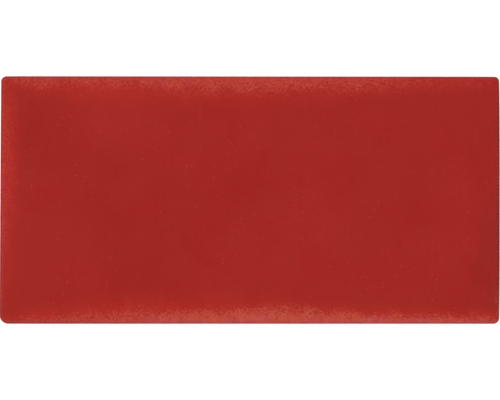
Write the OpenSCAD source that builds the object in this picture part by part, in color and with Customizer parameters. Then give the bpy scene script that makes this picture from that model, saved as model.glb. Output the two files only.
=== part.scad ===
// Clay bar: a moulded block of detailing clay, as it comes out of its wrapper.
//
// The bar lies on its flat face. The origin is at the centre of that face,
// +X runs along the bar, +Y across it and +Z up through its thickness.
// All dimensions are in millimetres.

/* [Block] */
// Length of the bar, end to end
bar_length = 90; // [60:0.5:150]
// Width of the bar, side to side
bar_width = 44.5; // [30:0.5:80]
// Thickness at the middle of the bar
bar_thickness = 14; // [10:0.5:25]
// How far the middle of the top face stands above its edges
crown_height = 0.3; // [0.1:0.05:1]

/* [Edges] */
// Radius that the edges of the top face are rolled to
top_edge_radius = 0.8; // [0.5:0.1:3]
// Radius of the edges around the flat face the bar lies on
base_edge_radius = 0.85; // [0.35:0.1:2.95]

/* [Corners] */
// Radius of the upright corner at the left end, +Y side
left_back_radius = 1; // [0.5:0.1:5]
// Radius of the upright corner at the right end, +Y side
right_back_radius = 0.9; // [0.5:0.1:5]
// Radius of the upright corner at the left end, -Y side
left_front_radius = 1.6; // [0.5:0.1:5]
// Radius of the upright corner at the right end, -Y side
right_front_radius = 1; // [0.5:0.1:5]

/* [Out of square] */
// How far the left end leans in at its +Y corner
end_skew = 0.3; // [0:0.05:1]
// How far the +Y side closes in at the right end
side_taper = 0.1; // [0:0.05:1]

/* [Hidden] */

half_length = bar_length / 2;
half_width = bar_width / 2;
edge_height = bar_thickness - crown_height;

// Length of the outlines' extrusions, well clear of the bar on every side
trim_length = 2 * bar_length;

// Steps in each upright corner's arc
corner_steps = 12;
// Facets on the rolled edges, and on the very large arc of the crown
edge_facets = 48;
crown_facets = 1800;

// The plan's corners before rounding, in order, clockwise seen from above
plan_corners = [
    [-half_length, -half_width],
    [-half_length + end_skew, half_width],
    [half_length, half_width - side_taper],
    [half_length, -half_width]
];
corner_radii = [
    left_front_radius,
    left_back_radius,
    right_back_radius,
    right_front_radius
];
corner_count = len(plan_corners);

// Unit vector from corner i towards the previous (-1) or the next (1) corner
function side_direction(i, step) =
    let (side = plan_corners[(i + step + corner_count) % corner_count] - plan_corners[i])
    side / norm(side);

// Half of the angle between the two sides that meet at corner i
function half_angle(i) = acos(side_direction(i, -1) * side_direction(i, 1)) / 2;

// Centre of the arc that rounds corner i
function arc_centre(i) =
    let (
        bisector = side_direction(i, -1) + side_direction(i, 1),
        reach = corner_radii[i] / sin(half_angle(i))
    )
    plan_corners[i] + reach * bisector / norm(bisector);

// Points along the arc that rounds corner i, from the previous side to the next
function corner_arc(i) =
    let (
        side = side_direction(i, -1),
        first = atan2(-side[0], side[1]),
        turn = 180 - 2 * half_angle(i)
    )
    [
        for (k = [0 : corner_steps])
            let (angle = first - turn * k / corner_steps)
            arc_centre(i) + corner_radii[i] * [cos(angle), sin(angle)]
    ];

// Radius of the arc that rises by crown_height over the part of a span between
// the rolled edges
function crown_radius(span) =
    let (half_chord = span / 2 - top_edge_radius)
    (half_chord * half_chord + crown_height * crown_height) / (2 * crown_height);

// Outline of the bar seen from above, each corner with its own radius
module plan_outline() {
    polygon([for (i = [0 : corner_count - 1]) each corner_arc(i)]);
}

// Outline seen along the bar or across it: a flat base and rolled edges
module edge_outline(span) {
    half_span = span / 2;
    half_top = half_span - top_edge_radius;
    half_base = half_span - base_edge_radius;
    side_height = edge_height - base_edge_radius - top_edge_radius;

    translate([-half_base, 0]) square([2 * half_base, base_edge_radius]);
    translate([-half_span, base_edge_radius]) square([span, side_height]);
    translate([-half_top, base_edge_radius]) square([2 * half_top, edge_height - base_edge_radius]);
    for (side = [-1, 1]) {
        translate([side * half_top, edge_height - top_edge_radius])
            circle(r = top_edge_radius, $fn = edge_facets);
        translate([side * half_base, base_edge_radius])
            circle(r = base_edge_radius, $fn = edge_facets);
    }
}

// The low arc that lifts the middle of the top face
module crown_outline(span) {
    half_top = span / 2 - top_edge_radius;
    intersection() {
        translate([-half_top, edge_height / 2]) square([2 * half_top, bar_thickness]);
        translate([0, bar_thickness - crown_radius(span)])
            circle(r = crown_radius(span), $fn = crown_facets);
    }
}

// A long block with the bar's upright outline over the given span
module upright_block(span) {
    translate([0, trim_length / 2, 0])
        rotate([90, 0, 0])
            linear_extrude(height = trim_length) {
                edge_outline(span);
                crown_outline(span);
            }
}

module clay_bar() {
    color("firebrick")
        intersection() {
            linear_extrude(height = trim_length) plan_outline();
            upright_block(bar_length);
            rotate([0, 0, 90]) upright_block(bar_width);
        }
}

clay_bar();
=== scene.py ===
"""Looks of the clay bar: one pressed block of red detailing clay, dusted with its
own dried release powder along the edges, partly a painted highlight, with painted light
and shade in its red, lying on a pale studio floor.

The block is modelled in millimetres and turned into metres at the end. It lies in
the CAD model's frame: +X along the bar, +Y across it, +Z up from the floor.
"""

import math
from collections import namedtuple

import bpy
import numpy as np
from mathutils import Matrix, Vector, noise


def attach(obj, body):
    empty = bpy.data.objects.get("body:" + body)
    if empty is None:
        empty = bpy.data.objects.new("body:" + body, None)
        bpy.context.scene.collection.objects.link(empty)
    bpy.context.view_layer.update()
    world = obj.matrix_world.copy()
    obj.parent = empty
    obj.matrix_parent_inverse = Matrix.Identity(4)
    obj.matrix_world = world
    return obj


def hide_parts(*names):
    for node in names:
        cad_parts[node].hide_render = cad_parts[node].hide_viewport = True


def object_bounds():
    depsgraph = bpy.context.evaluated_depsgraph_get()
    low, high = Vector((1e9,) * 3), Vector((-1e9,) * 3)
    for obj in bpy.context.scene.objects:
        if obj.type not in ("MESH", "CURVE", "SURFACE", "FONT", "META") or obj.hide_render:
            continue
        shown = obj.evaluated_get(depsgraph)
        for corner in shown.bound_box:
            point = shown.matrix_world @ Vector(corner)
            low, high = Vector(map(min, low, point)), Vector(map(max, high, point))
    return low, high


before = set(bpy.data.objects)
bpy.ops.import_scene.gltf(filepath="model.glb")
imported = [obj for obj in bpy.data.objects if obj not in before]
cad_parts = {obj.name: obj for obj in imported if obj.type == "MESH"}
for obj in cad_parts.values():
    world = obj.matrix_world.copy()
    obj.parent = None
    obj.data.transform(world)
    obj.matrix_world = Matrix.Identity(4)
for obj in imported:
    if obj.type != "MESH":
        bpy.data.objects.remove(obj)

MM = 0.001
TINY = 1e-9            # keeps lengths that are divided by from being 0

# The CAD model's box, in metres: the finished block fills it, but for END_CUT.
CAD_LOW, CAD_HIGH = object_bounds()
LENGTH, WIDTH, THICKNESS = (CAD_HIGH - CAD_LOW) / MM
HALF = np.array([LENGTH / 2, WIDTH / 2])

# Shape of the block, in millimetres.
CROWN = 0.3            # rise of the top face's middle above its edges
TOP_ROLL = 0.65        # radius of the top face's rolled edges
BASE_ROLL = 0.8        # radius of the edges around the base
ROLL_VARIATION = 0.25  # share by which both radii vary along the edges
ROLL_WAVE = (7, 7, 7)  # size of the blobs of that variation
TOP_ROLL_SEED = 7
BASE_ROLL_SEED = 8
SIDE_BULGE = 0.15      # how far the sides draw in towards the base
WIDEST_HEIGHT = 11.0   # height at which the sides stand out furthest
BULGE_REACH = 2.0      # how far in from the sides the bulge fades out
END_SKEW = 0.3         # lean of the left end, at its +Y corner
END_BOW = 0.13         # how far the right end curves back towards its corners
END_CUT = 0.12         # how far the right end is cut short of the CAD model's box
SIDE_TAPER = 0.1       # how far the +Y side closes in at the right end
# Upright corner radii, by [left, right] end and then [-Y, +Y] side.
CORNER_RADII = np.array([[1.6, 1.0], [1.0, 0.85]])

# Smooth noise in the skin: its greatest height, the size of its blobs along each axis,
# and its seed.
Wave = namedtuple("Wave", "height size seed")
TOP_WAVES = [Wave(0.06, (16, 16, 9), seed=1), Wave(0.05, (5, 4.5, 4), seed=2)]
FINE_WAVE = Wave(0.006, (1.3, 1.3, 1.3), seed=3)
# The ends are cut with a wire: short upright drag marks.
DRAG_MARKS = Wave(0.4, (3, 1.1, 9), seed=4)
# The long sides are drawn through a die: faint lines along the bar.
DIE_LINES = Wave(0.4, (26, 3, 1), seed=5)
SIDE_DENTS = [Wave(0.3, (1.6, 1.6, 1.6), seed=6), Wave(0.9, (9, 9, 5), seed=9)]
SEED_SHIFT = 17.3      # how far apart two seeds sample the noise
EVEN_RIM = 1.0         # height of the even rim that the sides have below the top
RIM_BLEND = 3.5        # height over which the unevenness sets in below that rim
FLOOR_BLEND = 0.3      # height over which it sets in above the floor

# Grid on the block's faces: fine near the edges, wider in the middle.
EDGE_ZONE = 1.4
EDGE_CELLS = 10
CELL = 0.45            # on the top and the base
SIDE_CELL = 0.3        # between the lines around the sides


# ---------------------------------------------------------------- block mesh

def grid_lines(length, cell):
    """Places of the grid lines along one side of the box, from 0 to length."""
    edge = np.linspace(0, EDGE_ZONE, EDGE_CELLS + 1)
    middle_cells = round((length - 2 * EDGE_ZONE) / cell)
    middle = np.linspace(EDGE_ZONE, length - EDGE_ZONE, middle_cells + 1)
    return np.concatenate([edge[:-1], middle, length - edge[-2::-1]])


def sheet_quads(sheet):
    """Quads between neighbouring entries of a grid of vertex numbers."""
    corners = sheet[:-1, :-1], sheet[1:, :-1], sheet[1:, 1:], sheet[:-1, 1:]
    return np.stack(corners, axis=-1).reshape(-1, 4)


def box_grid():
    """Points and quads of a closed box that carries the grid lines on its six faces."""
    lines = [
        grid_lines(LENGTH, CELL) - HALF[0],
        grid_lines(WIDTH, CELL) - HALF[1],
        grid_lines(THICKNESS, SIDE_CELL),
    ]
    number = np.arange(math.prod(len(line) for line in lines))
    number = number.reshape([len(line) for line in lines])
    sheets = [
        number[0].T, number[-1],
        number[:, 0], number[:, -1].T,
        number[:, :, 0].T, number[:, :, -1],
    ]
    quads = np.concatenate([sheet_quads(sheet) for sheet in sheets])
    used, compact = np.unique(quads, return_inverse=True)
    places = np.stack(np.meshgrid(*lines, indexing="ij"), axis=-1).reshape(-1, 3)
    return places[used], compact.reshape(-1, 4)


def square_to_disc(a, b):
    """Scale that turns each square around (0, 0) into the circle that fits in it."""
    return np.maximum(abs(a), abs(b)) / np.maximum(np.hypot(a, b), TINY)


def round_corners(points):
    """Rounds the upright corners. Returns each point's inset from the side and the
    side's outward direction there."""
    side = np.where(points[:, :2] < 0, -1.0, 1.0)
    radius = CORNER_RADII[(side[:, 0] > 0).astype(int), (side[:, 1] > 0).astype(int)]
    centre = side * (HALF - radius[:, None])
    arm = points[:, :2] - centre
    in_corner = (arm * side > 0).all(axis=1)

    gap = HALF - abs(points[:, :2])
    nearest = gap.argmin(axis=1)
    inset = gap.min(axis=1)
    outward = np.zeros_like(side)
    outward[np.arange(len(side)), nearest] = side[np.arange(len(side)), nearest]

    reach = abs(arm).max(axis=1)
    length = np.maximum(np.hypot(arm[:, 0], arm[:, 1]), TINY)
    direction = arm / length[:, None]
    points[in_corner, :2] = (centre + direction * reach[:, None])[in_corner]
    inset[in_corner] = (radius - reach)[in_corner]
    outward[in_corner] = direction[in_corner]
    return inset, outward


def roll_edge(inset, depth, radius):
    """Moves, inwards and downwards, that round the edge between a face and the sides."""
    a = radius - inset
    b = radius - depth
    rolled = (a > 0) & (b > 0)
    shrink = np.where(rolled, 1 - square_to_disc(a, b), 0)
    return a * shrink, b * shrink


def fade(distance, reach):
    """1 at no distance, falling smoothly to 0 at the reach."""
    t = np.clip(1 - distance / reach, 0, 1)
    return t * t * (3 - 2 * t)


def noise_at(points, size, seed):
    """Smooth noise, -1 to 1, with blobs of the given size in mm along each axis."""
    scaled = points / np.array(size) + seed * SEED_SHIFT
    return np.array([noise.noise(Vector(p)) for p in scaled])


def normals_of(points, quads):
    """Unit normals at the points."""
    a, b, c, d = (points[quads[:, k]] for k in range(4))
    face = np.cross(c - a, d - b)
    total = np.zeros_like(points)
    for k in range(4):
        np.add.at(total, quads[:, k], face)
    return total / np.maximum(np.linalg.norm(total, axis=1), TINY)[:, None]


def uneven_roll(points, radius, seed):
    """The radius of a rolled edge at each point, varying around the outline."""
    plan = points * (1, 1, 0)
    return radius * (1 + ROLL_VARIATION * noise_at(plan, ROLL_WAVE, seed))


def shape_block(points):
    """Turns the box into the bar's rounded, crowned and slightly leaning form."""
    inset, outward = round_corners(points)
    z = points[:, 2].copy()
    top_roll = uneven_roll(points, TOP_ROLL, TOP_ROLL_SEED)
    base_roll = uneven_roll(points, BASE_ROLL, BASE_ROLL_SEED)
    top_in, top_down = roll_edge(inset, THICKNESS - z, top_roll)
    base_in, base_up = roll_edge(inset, z, base_roll)
    bulge = SIDE_BULGE * (z / WIDEST_HEIGHT - 1) ** 2 * fade(inset, BULGE_REACH)
    points[:, :2] -= outward * (top_in + base_in + bulge)[:, None]
    points[:, 2] += base_up - top_down

    u, v = (points[:, :2] / HALF).T
    crown = (1 - np.clip(abs(u), 0, 1) ** 4) * (1 - np.clip(abs(v), 0, 1) ** 4)
    points[:, 2] += CROWN * (crown - 1) * (z / THICKNESS)
    points[:, 0] += END_SKEW * (v + 1) / 2 * np.clip(-u, 0, 1) ** 2
    points[:, 0] -= END_BOW * v ** 4 * np.clip(u, 0, 1) ** 2
    points[:, 1] -= SIDE_TAPER * (u + 1) / 2 * np.clip(v, 0, 1) ** 2


def waves(points, wave):
    """Height of a wave, up and down by as much as its height."""
    return wave.height * noise_at(points, wave.size, wave.seed)


def hollows(points, wave):
    """Height of a wave that only dents inwards, and is mostly near 0."""
    return -wave.height * noise_at(points, wave.size, wave.seed) ** 2


def relief(points, normals):
    """Height, in mm, of the small unevenness of the skin along the normals."""
    on_top = abs(normals[:, 2])
    on_side = 1 - on_top
    on_end = on_side * abs(normals[:, 0])
    on_long_side = on_side * abs(normals[:, 1])
    depth = THICKNESS - points[:, 2]
    below_rim = 1 - fade(depth - EVEN_RIM, RIM_BLEND)

    on_top_waves = on_top * sum(waves(points, wave) for wave in TOP_WAVES)
    dents = on_side * sum(hollows(points, wave) for wave in SIDE_DENTS)
    dents += on_end * hollows(points, DRAG_MARKS)
    dents += on_long_side * hollows(points, DIE_LINES)
    return waves(points, FINE_WAVE) + on_top_waves + dents * below_rim


def fill_box(points):
    """Stretches the points to fill the CAD model's box, up to the cut right end, and
    turns them into metres."""
    low, high = points.min(axis=0), points.max(axis=0)
    share = (points - low) / (high - low)
    size = np.array(CAD_HIGH - CAD_LOW) - (END_CUT * MM, 0, 0)
    return np.array(CAD_LOW) + share * size


def make_block():
    """The block of clay, as one closed mesh."""
    points, quads = box_grid()
    shape_block(points)
    normals = normals_of(points, quads)
    on_floor = fade(points[:, 2], FLOOR_BLEND) * (normals[:, 2] < 0)
    points += normals * (relief(points, normals) * (1 - on_floor))[:, None]

    mesh = bpy.data.meshes.new("clay_block")
    mesh.from_pydata(fill_box(points).tolist(), [], quads.tolist())
    mesh.polygons.foreach_set("use_smooth", [True] * len(mesh.polygons))
    mesh.validate()
    block = bpy.data.objects.new("clay_block", mesh)
    bpy.context.scene.collection.objects.link(block)
    return block


# ------------------------------------------------------------ material tools

# A smooth change: while its source goes from start to end, it goes from at_start to
# at_end.
Ramp = namedtuple("Ramp", "start end at_start at_end")
# Soft clouds: size in mm, detail and seed of their noise, and the ramp on that noise.
Clouds = namedtuple("Clouds", "size detail seed ramp")
# Specks: spacing and size in mm, and the share of the places that stay empty.
Specks = namedtuple("Specks", "spacing size rarity")
SPECK_OUTLINE = (0.6, 1.2)  # distances, in speck sizes, between which a speck fades out
# A brighter handling smudge, or a darker patch of painted shade, on the top face: centre
# and size in mm, blur of its outline, strength, and colour.
SmudgeAndShade = namedtuple("SmudgeAndShade", "centre size blur strength colour")


class Graph:
    """Builds one material's node tree. A value is a number, a colour or a socket."""

    def __init__(self, name):
        self.material = bpy.data.materials.new(name)
        self.material.use_nodes = True
        self.tree = self.material.node_tree
        self.tree.nodes.clear()

    def add(self, kind, inputs=(), **settings):
        """Adds a node, with its settings and its inputs by name or number."""
        node = self.tree.nodes.new("ShaderNode" + kind)
        for name, value in settings.items():
            setattr(node, name, value)
        for key, value in dict(inputs).items():
            if isinstance(value, bpy.types.NodeSocket):
                self.tree.links.new(value, node.inputs[key])
            else:
                node.inputs[key].default_value = value
        return node

    def math(self, operation, *values):
        """One operation on numbers."""
        node = self.add("Math", dict(enumerate(values)), operation=operation)
        return node.outputs[0]

    def total(self, *values):
        """Sum of the values."""
        result = values[0]
        for value in values[1:]:
            result = self.math("ADD", result, value)
        return result

    def product(self, *values):
        """Product of the values."""
        result = values[0]
        for value in values[1:]:
            result = self.math("MULTIPLY", result, value)
        return result

    def step(self, value, start, end, at_start=0.0, at_end=1.0):
        """Smooth change from at_start to at_end while the value goes from start to end."""
        node = self.add("MapRange", {
            "Value": value, "From Min": start, "From Max": end,
            "To Min": at_start, "To Max": at_end,
        }, interpolation_type="SMOOTHSTEP")
        return node.outputs["Result"]

    def noise(self, place, size, detail, seed):
        """Noise from 0 to 1, around 0.5, with blobs of the given size in mm."""
        node = self.add("TexNoise", {
            "Vector": place, "W": seed, "Scale": 1 / size, "Detail": detail,
        }, noise_dimensions="4D")
        return node.outputs["Fac"]

    def clouds(self, place, layer):
        """Noise turned into soft clouds by the layer's ramp."""
        value = self.noise(place, layer.size, layer.detail, layer.seed)
        return self.step(value, *layer.ramp)

    def cells(self, place, size):
        """Small cells of the given size in mm, each with its own value from 0 to 1."""
        cell = self.add("TexVoronoi", {"Vector": place, "Scale": 1 / size})
        return self.add("SeparateColor", {0: cell.outputs["Color"]}).outputs[0]

    def along(self, place, stops):
        """A value that follows listed stops, each (place in mm, value up to 1)."""
        share = self.math("ADD", self.math("DIVIDE", place, LENGTH), 0.5)
        node = self.add("ValToRGB", {"Fac": share})
        ramp = node.color_ramp
        ramp.interpolation = "EASE"
        while len(ramp.elements) < len(stops):
            ramp.elements.new(1.0)
        for element, (mm, value) in zip(ramp.elements, stops):
            element.position = mm / LENGTH + 0.5
            element.color = (value, value, value, 1)
        return node.outputs["Color"]

    def specks(self, place, layer):
        """Sparse specks, 0 to 1, at most one to a cell of the layer's spacing."""
        cell = self.add("TexVoronoi", {"Vector": place, "Scale": 1 / layer.spacing})
        full, gone = (share * layer.size / layer.spacing for share in SPECK_OUTLINE)
        near = self.step(cell.outputs["Distance"], full, gone, 1.0, 0.0)
        chance = self.add("SeparateColor", {0: cell.outputs["Color"]}).outputs[0]
        return self.product(near, self.step(chance, layer.rarity, 1.0))

    def mix(self, share, first, second):
        """Mix of two colours: all first at share 0, all second at share 1."""
        node = self.add("Mix", {0: share, 6: first, 7: second}, data_type="RGBA")
        return node.outputs[2]


# --------------------------------------------------------------- clay finish

# Linear red, green and blue, and opacity.
CLAY_RED = (0.332, 0.0058, 0.0013, 1)
HANDLED_RED = (0.450, 0.0155, 0.0120, 1)
# painted shade, for the right end
PAINTED_SHADE_RED = (0.300, 0.0065, 0.0035, 1)
# painted light: the red brightened towards the edges, where the crowned top curves towards the
# softboxes
EDGE_LIGHT_RED = (0.445, 0.011, 0.005, 1)
# colours of the powder, and of the painted highlight along the edges
WARM_POWDER = (0.64, 0.150, 0.085, 1)
PINK_POWDER = (0.64, 0.150, 0.132, 1)
PALE_SPECK = (0.43, 0.029, 0.024, 1)
DARK_SPECK = (0.23, 0.004, 0.002, 1)

# How the powder, partly a painted highlight where the rolled edge catches the softboxes,
# and the painted light that brightens the red follow each edge. Every stop is a place
# along the edge in mm, then a value: a strength, or a reach inwards in mm.
BACK = {
    "powder_and_sheen": [(-45, 0.28), (-40, 0.35), (-20, 0.34), (-16, 0.5), (4, 0.52), (12, 0.44),
               (18, 0.36), (26, 0.24), (32, 0.07), (45, 0.04)],
    "powder_and_sheen_reach": [(-45, 1.1), (-35, 1.5), (-20, 1.65), (-14, 2.3), (14, 2.2), (28, 2.0),
                     (45, 1.5)],
    "edge_light": [(-45, 0.55), (-38, 0.65), (-28, 0.8), (8, 0.8), (24, 0.65), (32, 0.45), (45, 0.3)],
    "edge_light_reach": [(-45, 3.0), (-36, 4.4), (-28, 6.8), (10, 6.2), (25, 4.5), (34, 3.4),
                     (45, 2.8)],
}
FRONT = {
    "powder_and_sheen": [(-45, 0.15), (-38, 0.24), (-30, 0.42), (-22, 0.6), (-16, 0.84), (0, 0.89),
               (10, 0.88), (22, 0.92), (30, 0.85), (40, 0.75), (45, 0.5)],
    "powder_and_sheen_reach": [(-45, 1.0), (-38, 1.1), (-25, 1.7), (-4, 2.05), (4, 2.25), (9, 2.2),
                     (15, 1.75), (22, 1.3), (32, 1.2), (45, 1.0)],
    "edge_light": [(-45, 0.4), (-38, 0.65), (-25, 0.8), (25, 0.8), (42, 0.7), (45, 0.4)],
    "edge_light_reach": [(-45, 3.0), (-34, 4.5), (-24, 6.6), (-5, 6.6), (8, 5.0), (24, 4.0),
                     (45, 3.0)],
}
LEFT = {
    "powder_and_sheen": [(-22, 0.02), (-14, 0.03), (-6, 0.1), (0, 0.14), (14, 0.16), (18, 0.13), (22, 0.1)],
    "powder_and_sheen_reach": [(-22, 0.8), (-6, 1.1), (0, 1.5), (14, 1.6), (22, 1.0)],
    "edge_light": [(-22, 0.1), (-16, 0.2), (-11, 0.4), (-4, 0.65), (4, 0.9), (16, 0.75), (22, 0.6)],
    "edge_light_reach": [(-22, 2.0), (-10, 3.2), (0, 4.4), (14, 4.8), (22, 3.8)],
}
# The right end has no powder and no painted light, but for a little powder, partly a painted
# highlight, at its front corner.
RIGHT = {
    "powder_and_sheen": [(-22, 0.35), (-18, 0.3), (-15, 0.0), (22, 0.0)],
    "powder_and_sheen_reach": [(-22, 0.8), (22, 0.8)],
    "edge_light": [(-22, 0.0), (22, 0.0)],
    "edge_light_reach": [(-22, 2.0), (22, 2.0)],
}
LONGEST_REACH = 8.0   # in mm, and more than any reach above
# Shares of its reach at which an edge's powder and painted highlight start to thin out, and have
# gone.
POWDER_FADE = (0.15, 1.95)
EDGE_LIGHT_START = 1.0    # how far in from an edge the painted light on the red starts to fade, in mm
RIM_SHARE = 0.6       # how much of the drop down the side counts as distance in
WANDER = (2.2, 3.0, 1.0)  # size in mm, detail and seed of the noise in the outlines
WANDER_WIDTH = 2.2    # span over which that noise moves them, in mm

# The powder lies in grains, a mix of hard cells and soft noise, and in a thin haze.
GRAIN_CELL = 0.2      # width of a hard cell, in mm
CELL_SHARE = 0.6      # share of the hard cells in the mix
SOFT_GRAIN = (0.5, 2.0, 2.0)  # size in mm, detail and seed of the soft noise
FULL_DENSITY = 0.86   # density of the strongest powder, right at the edge
SINGLE_GRAINS = Ramp(0.0, 7.0, 0.12, 0.0)  # their density, by mm in from the edge
# A grain shows where the mix, lifted by a share of the density, rises through a span.
DENSITY_LIFT = 0.75
GRAIN_SPAN = (0.78, 0.94)
GRAIN_STRENGTH = Ramp(0.0, 0.6, 0.45, 1.0)  # by density: single grains are fainter
GRAIN_COVER = 0.75    # how well the strongest grains cover the red
HAZE_COVER = 0.3      # how well the haze does at density 1
LEAST_COVER = 0.13    # cover of the powder on an edge of no strength
ADDED_COVER = 0.24    # what an edge of strength 1 adds to that
SIDE_COVER = 0.33     # cover of the dust on the sides
SIDE_PATCHES = Clouds(3.0, 4.0, 7.0, Ramp(0.38, 0.72, 0.0, 0.6))
DRAWN_OUT = (0.4, 0.4, 1.0)  # squeeze that makes those patches longer than high
BASE_DUST = Ramp(0.3, 2.4, 0.6, 0.0)  # density by mm above the floor
SIDE_SHARE = Ramp(0.6, 2.0, 0.0, 1.0)  # share of the side's dust, by mm below the rim
THIN_DUST = Clouds(0.9, 3.0, 13.0, Ramp(0.42, 0.62, 0.0, 0.006))

# Variation of the red: clouds, brightness along the bar, and painted shade below the rim, where
# the rolled edge and the sides turn away from the light, by mm.
HANDLING = Clouds(22.0, 6.0, 3.0, Ramp(0.25, 0.75, 0.0, 0.26))
MOTTLE = Clouds(1.2, 2.0, 10.0, Ramp(0.3, 0.7, 0.72, 1.28))
TONE = Clouds(1.1, 3.0, 11.0, Ramp(0.3, 0.7, 0.985, 1.015))
TONE_ALONG = Ramp(-45.0, 45.0, 0.99, 1.0)
# painted shade on the rolled edge and the sides
SHADE_BELOW_RIM = Ramp(0.05, 0.3, 1.0, 0.86)
EDGE_LIGHT_BY_GRAIN = Ramp(0.3, 0.7, 0.45, 1.55)

# How pink the powder is: noise, and what is added to it by y, in mm. Over the span the
# powder goes from its warm colour to its pink one.
PINK_NOISE = (3.0, 2.0, 12.0)
PINK_FRONT = Ramp(-22.0, -20.4, 0.12, -0.2)
PINK_BACK = Ramp(8.0, 20.0, 0.0, 0.24)
PINK_SPAN = (0.35, 0.65)

PALE_SPECKS = Specks(0.8, 0.17, 0.6)
PALE_CROWDS = Clouds(7.0, 2.0, 14.0, Ramp(0.4, 0.6, 0.4, 1.0))  # where they stand out
DARK_SPECKS = Specks(0.9, 0.15, 0.88)
SMUDGES_AND_SHADE = [
    SmudgeAndShade((36, 0), (4.5, 17), 0.5, 0.12, HANDLED_RED),
    SmudgeAndShade((-25, 17), (5, 7), 0.6, 0.12, HANDLED_RED),
    SmudgeAndShade((0.5, 17), (3, 7), 0.6, 0.12, HANDLED_RED),
    SmudgeAndShade((-28, -15), (3.5, 6), 0.6, 0.12, HANDLED_RED),
    # Painted shade: these two darken the right end, where the least light falls.
    SmudgeAndShade((47, -8.5), (5.8, 12.5), 0.06, 0.5, PAINTED_SHADE_RED),
    SmudgeAndShade((45.5, -13.5), (5.8, 6), 0.10, 0.35, PAINTED_SHADE_RED),
]
PATCH_DEPTH = 1e6    # they reach straight down through the bar, in mm

# Roughness: handling leaves smoother and duller places, and powder adds to it.
SMEARS = Clouds(6.0, 4.0, 8.0, Ramp(0.35, 0.65, 0.44, 0.54))
POWDER_ROUGHNESS = 0.8
# Bump: size in mm, detail and seed of its two noises, and the heights in mm.
BROAD_BUMP = (1.4, 2.0, 9.0)
BROAD_BUMP_HEIGHT = 0.030
FINE_BUMP = (0.3, 3.0, 4.0)
FINE_BUMP_HEIGHT = 0.006
POWDER_HEIGHT = 0.030


class ClayGraph(Graph):
    """The clay's node tree, with the values that several of its layers share."""

    def __init__(self):
        super().__init__("detailing_clay")
        metres = self.add("TexCoord").outputs["Object"]
        scaled = self.add("VectorMath", {0: metres, "Scale": 1 / MM}, operation="SCALE")
        self.place = scaled.outputs[0]
        self.x, self.y, self.z = self.add("SeparateXYZ", {0: self.place}).outputs
        # How far a place lies below the rim of the top face.
        below_rim = self.math("SUBTRACT", THICKNESS - CROWN, self.z)
        self.drop = self.math("MAXIMUM", below_rim, 0.0)
        # How far the outlines of the dust wander from their even course.
        wander = self.total(self.noise(self.place, *WANDER), -0.5)
        self.wander = self.product(wander, WANDER_WIDTH)
        self.grain = self.total(
            self.product(self.cells(self.place, GRAIN_CELL), CELL_SHARE),
            self.product(self.noise(self.place, *SOFT_GRAIN), 1 - CELL_SHARE),
        )
        self.mottle = self.clouds(self.place, MOTTLE)


def edge_bands(g, distance, place, edge):
    """Along one edge: how densely the powder lies, partly a painted highlight, how strong it
    is, and how much painted light brightens the red, from the distance in from the edge and
    the place along it."""
    def reach(name):
        # A ramp holds values up to 1, so it holds reaches as shares of the longest.
        stops = [(mm, value / LONGEST_REACH) for mm, value in edge[name]]
        return g.product(g.along(place, stops), LONGEST_REACH)

    powder_and_sheen_reach = reach("powder_and_sheen_reach")
    thins_out, gone = (g.product(powder_and_sheen_reach, share) for share in POWDER_FADE)
    near = g.step(distance, thins_out, gone, 1.0, 0.0)
    strength = g.along(place, edge["powder_and_sheen"])
    band = g.product(near, g.math("SQRT", strength), FULL_DENSITY)
    edge_light = g.step(distance, EDGE_LIGHT_START, reach("edge_light_reach"), 1.0, 0.0)
    edge_light = g.product(edge_light, g.along(place, edge["edge_light"]))
    return g.total(band, g.step(distance, *SINGLE_GRAINS)), strength, edge_light


def powder_cover(g, density):
    """Cover of the powder, 0 to 1: a haze, and grains that get sparser and fainter."""
    level = g.total(g.grain, g.product(density, DENSITY_LIFT))
    grains = g.product(g.step(level, *GRAIN_SPAN), g.step(density, *GRAIN_STRENGTH))
    return g.total(g.product(grains, GRAIN_COVER), g.product(density, HAZE_COVER))


def edge_dust_and_light(g):
    """How much powder lies along the four edges, partly a painted highlight on the rolled edges,
    and how much painted light brightens the red there.
    """
    over_rim = g.total(g.product(g.drop, RIM_SHARE), g.wander)
    powder_and_sheen = edge_light = 0.0
    for gap, along, edge in (
        (g.math("SUBTRACT", HALF[1], g.y), g.x, BACK),
        (g.math("ADD", HALF[1], g.y), g.x, FRONT),
        (g.math("ADD", HALF[0], g.x), g.y, LEFT),
        (g.math("SUBTRACT", HALF[0], g.x), g.y, RIGHT),
    ):
        distance = g.total(gap, over_rim)
        density, strength, this_edge_light = edge_bands(g, distance, along, edge)
        weight = g.total(g.product(strength, ADDED_COVER), LEAST_COVER)
        cover = g.product(powder_cover(g, density), weight)
        powder_and_sheen = g.math("MAXIMUM", powder_and_sheen, cover)
        edge_light = g.math("MAXIMUM", edge_light, this_edge_light)
    return powder_and_sheen, g.product(edge_light, g.mottle, g.step(g.grain, *EDGE_LIGHT_BY_GRAIN))


def side_dust(g):
    """How much dust lies on the sides: in patches, and most of all along the base."""
    drawn_out = g.add("VectorMath", {0: g.place, 1: DRAWN_OUT}, operation="MULTIPLY")
    patches = g.clouds(drawn_out.outputs[0], SIDE_PATCHES)
    base = g.step(g.total(g.z, g.wander), *BASE_DUST)
    density = g.product(g.math("MAXIMUM", patches, base), g.step(g.drop, *SIDE_SHARE))
    return g.product(powder_cover(g, density), SIDE_COVER)


def smudge_and_shade_share(g, patch):
    """How much of a smudge or of a patch of painted shade shows: its strength inside it and 0
    outside.
    """
    node = g.add("Mapping", {
        "Vector": g.place,
        "Location": (*patch.centre, 0), "Scale": (*patch.size, PATCH_DEPTH),
    }, vector_type="TEXTURE")
    length = g.add("VectorMath", {0: node.outputs[0]}, operation="LENGTH")
    blur = patch.blur
    inside = g.step(length.outputs["Value"], 1 - blur, 1 + blur, 1.0, 0.0)
    return g.product(inside, patch.strength)


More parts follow.
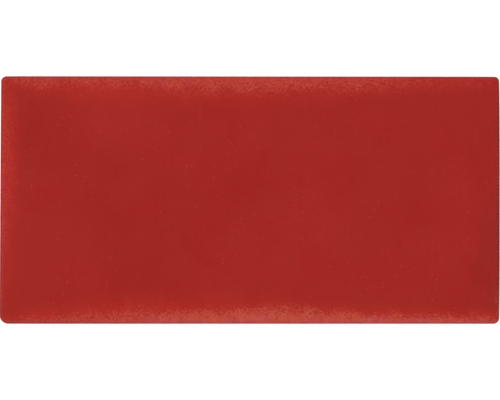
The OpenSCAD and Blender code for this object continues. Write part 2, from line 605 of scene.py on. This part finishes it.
def clay_red_with_painted_light(g, edge_light):
    """The red of the clay, without powder and specks, with painted light that brightens it
    towards the edges and painted shade below the rim and along the right end.
    """
    red = g.mix(g.clouds(g.place, HANDLING), CLAY_RED, HANDLED_RED)
    # painted light: the red brightened towards the edges
    red = g.mix(edge_light, red, EDGE_LIGHT_RED)
    # handling smudges, and painted shade along the right end
    for patch in SMUDGES_AND_SHADE:
        red = g.mix(smudge_and_shade_share(g, patch), red, patch.colour)
    tone_and_shade = g.product(
        g.clouds(g.place, TONE),
        g.step(g.x, *TONE_ALONG),
        # painted shade: darker below the rim, on the rolled edge and the sides
        g.step(g.drop, *SHADE_BELOW_RIM),
    )
    return g.add("VectorMath", {0: red, "Scale": tone_and_shade}, operation="SCALE").outputs[0]


def powder_colour(g):
    """Colour of the powder, and of the painted highlight along the edges: pinker at the very
    front and towards the back.
    """
    pinkness = g.total(
        g.noise(g.place, *PINK_NOISE),
        g.step(g.y, *PINK_FRONT),
        g.step(g.y, *PINK_BACK),
    )
    return g.mix(g.step(pinkness, *PINK_SPAN), WARM_POWDER, PINK_POWDER)


def skin_bump(g, powder_and_sheen):
    """Normal of the skin: soft unevenness, a fine grain, and the thickness of powder."""
    height = g.total(
        g.product(g.noise(g.place, *BROAD_BUMP), BROAD_BUMP_HEIGHT),
        g.product(g.noise(g.place, *FINE_BUMP), FINE_BUMP_HEIGHT),
        g.product(powder_and_sheen, POWDER_HEIGHT),
    )
    return g.add("Bump", {"Height": height, "Distance": MM, "Strength": 1.0}).outputs[0]


def clay_material():
    """Red clay, with painted light and shade in its red, dusted with powder along its edges, the
    powder partly a painted highlight.
    """
    g = ClayGraph()
    powder_and_sheen, edge_light = edge_dust_and_light(g)
    powder_and_sheen = g.product(g.math("MAXIMUM", powder_and_sheen, side_dust(g)), g.mottle)
    powder_and_sheen = g.total(powder_and_sheen, g.clouds(g.place, THIN_DUST))

    # powder, partly a painted highlight along the edges, over the red
    colour = g.mix(powder_and_sheen, clay_red_with_painted_light(g, edge_light), powder_colour(g))
    pale = g.product(g.specks(g.place, PALE_SPECKS), g.clouds(g.place, PALE_CROWDS))
    colour = g.mix(pale, colour, PALE_SPECK)
    colour = g.mix(g.specks(g.place, DARK_SPECKS), colour, DARK_SPECK)

    rough = g.total(g.clouds(g.place, SMEARS), g.product(powder_and_sheen, POWDER_ROUGHNESS))
    shader = g.add("BsdfPrincipled", {
        "Base Color": colour, "Roughness": rough, "Normal": skin_bump(g, powder_and_sheen),
        "Specular IOR Level": 0.25,
        "Sheen Weight": 0.05, "Sheen Roughness": 0.5,
    })
    output = g.add("OutputMaterial", {"Surface": shader.outputs[0]})
    output.is_active_output = True
    return g.material


# ------------------------------------------------------------ studio and view

FLOOR_SIZE = 8.0       # side of the square floor, in metres
# By distance in metres from the bar's middle: near the bar a trace of its contact
# shadow shows, and further out the floor is white.
FLOOR_GLOW = Ramp(0.1, 0.6, 0.5, 1.0)
# Strength of the surround, as a light and where the camera sees it.
WORLD_LIGHT = 0.22
WORLD_SEEN = 1.2
LENS = 500.0           # focal length, in mm
SENSOR = 36.0          # width of the camera's sensor, in mm
# Length of the bar as a share of the picture's width, seen from straight above.
FILL = 501 / 500

# Softboxes: name, the side of the bar they stand on (degrees from +X), and watts.
SOFTBOXES = [("left", 180, 4.8), ("back", 85, 4.5), ("front", -90, 4.25), ("right", 0, 1.85)]
SOFTBOX_AWAY = 0.8     # distance from the bar along the floor, in metres
SOFTBOX_HEIGHT = 0.8
SOFTBOX_SIZE = 0.7     # side of the square that shines, in metres


def floor_material():
    """White, and lit from within where the camera sees it."""
    g = Graph("pale_floor")
    away = g.add("VectorMath", {0: g.add("TexCoord").outputs["Object"]}, operation="LENGTH")
    glow = g.step(away.outputs["Value"], *FLOOR_GLOW)
    glow = g.product(glow, g.add("LightPath").outputs["Is Camera Ray"])
    shader = g.add("BsdfPrincipled", {
        "Base Color": (0.9, 0.9, 0.9, 1), "Roughness": 0.9,
        "Specular IOR Level": 0.0,
        "Emission Color": (1, 1, 1, 1), "Emission Strength": glow,
    })
    g.add("OutputMaterial", {"Surface": shader.outputs[0]})
    return g.material


def make_floor():
    """A large square sheet at the height of the bar's base."""
    half = FLOOR_SIZE / 2
    corners = [(-half, -half, 0), (half, -half, 0), (half, half, 0), (-half, half, 0)]
    mesh = bpy.data.meshes.new("floor")
    mesh.from_pydata(corners, [], [(0, 1, 2, 3)])
    mesh.materials.append(floor_material())
    floor = bpy.data.objects.new("floor", mesh)
    floor.location.z = CAD_LOW.z
    bpy.context.scene.collection.objects.link(floor)


def make_light(name, azimuth, power):
    """A square softbox that faces the bar from the given side."""
    data = bpy.data.lights.new(name, "AREA")
    data.size = SOFTBOX_SIZE
    data.energy = power
    light = bpy.data.objects.new(name, data)
    turn = math.radians(azimuth)
    across = Vector((math.cos(turn), math.sin(turn), 0)) * SOFTBOX_AWAY
    place = across + Vector((0, 0, SOFTBOX_HEIGHT))
    light.location = place
    light.rotation_euler = (-place).to_track_quat("-Z", "Y").to_euler()
    bpy.context.scene.collection.objects.link(light)


def make_world():
    """A pale surround: white where the camera sees it, dimmer as a light."""
    world = bpy.data.worlds.new("studio")
    world.use_nodes = True
    nodes, links = world.node_tree.nodes, world.node_tree.links
    nodes.clear()
    seen = nodes.new("ShaderNodeLightPath")
    strength = nodes.new("ShaderNodeMapRange")
    strength.inputs["To Min"].default_value = WORLD_LIGHT
    strength.inputs["To Max"].default_value = WORLD_SEEN
    background = nodes.new("ShaderNodeBackground")
    output = nodes.new("ShaderNodeOutputWorld")
    links.new(seen.outputs["Is Camera Ray"], strength.inputs["Value"])
    links.new(strength.outputs["Result"], background.inputs["Strength"])
    links.new(background.outputs[0], output.inputs["Surface"])
    background.inputs["Color"].default_value = (1, 1, 1, 1)
    bpy.context.scene.world = world


def make_camera():
    """Looks straight down, so that the bar's length fills the picture's width."""
    data = bpy.data.cameras.new("camera")
    data.lens = LENS
    data.sensor_width = SENSOR
    centre = (CAD_LOW + CAD_HIGH) / 2
    seen_width = LENGTH * MM / FILL
    rim_height = CAD_HIGH.z - (CROWN + TOP_ROLL) * MM
    distance = seen_width * LENS / SENSOR
    camera = bpy.data.objects.new("camera", data)
    camera.location = (centre.x, centre.y, rim_height + distance)
    bpy.context.scene.collection.objects.link(camera)
    bpy.context.scene.camera = camera


block = make_block()
block.data.materials.append(clay_material())
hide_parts("clay_bar")
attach(block, "root")

make_floor()
for name, azimuth, power in SOFTBOXES:
    make_light(name, azimuth, power)
make_world()
make_camera()
bpy.context.scene.view_settings.view_transform = "Standard"
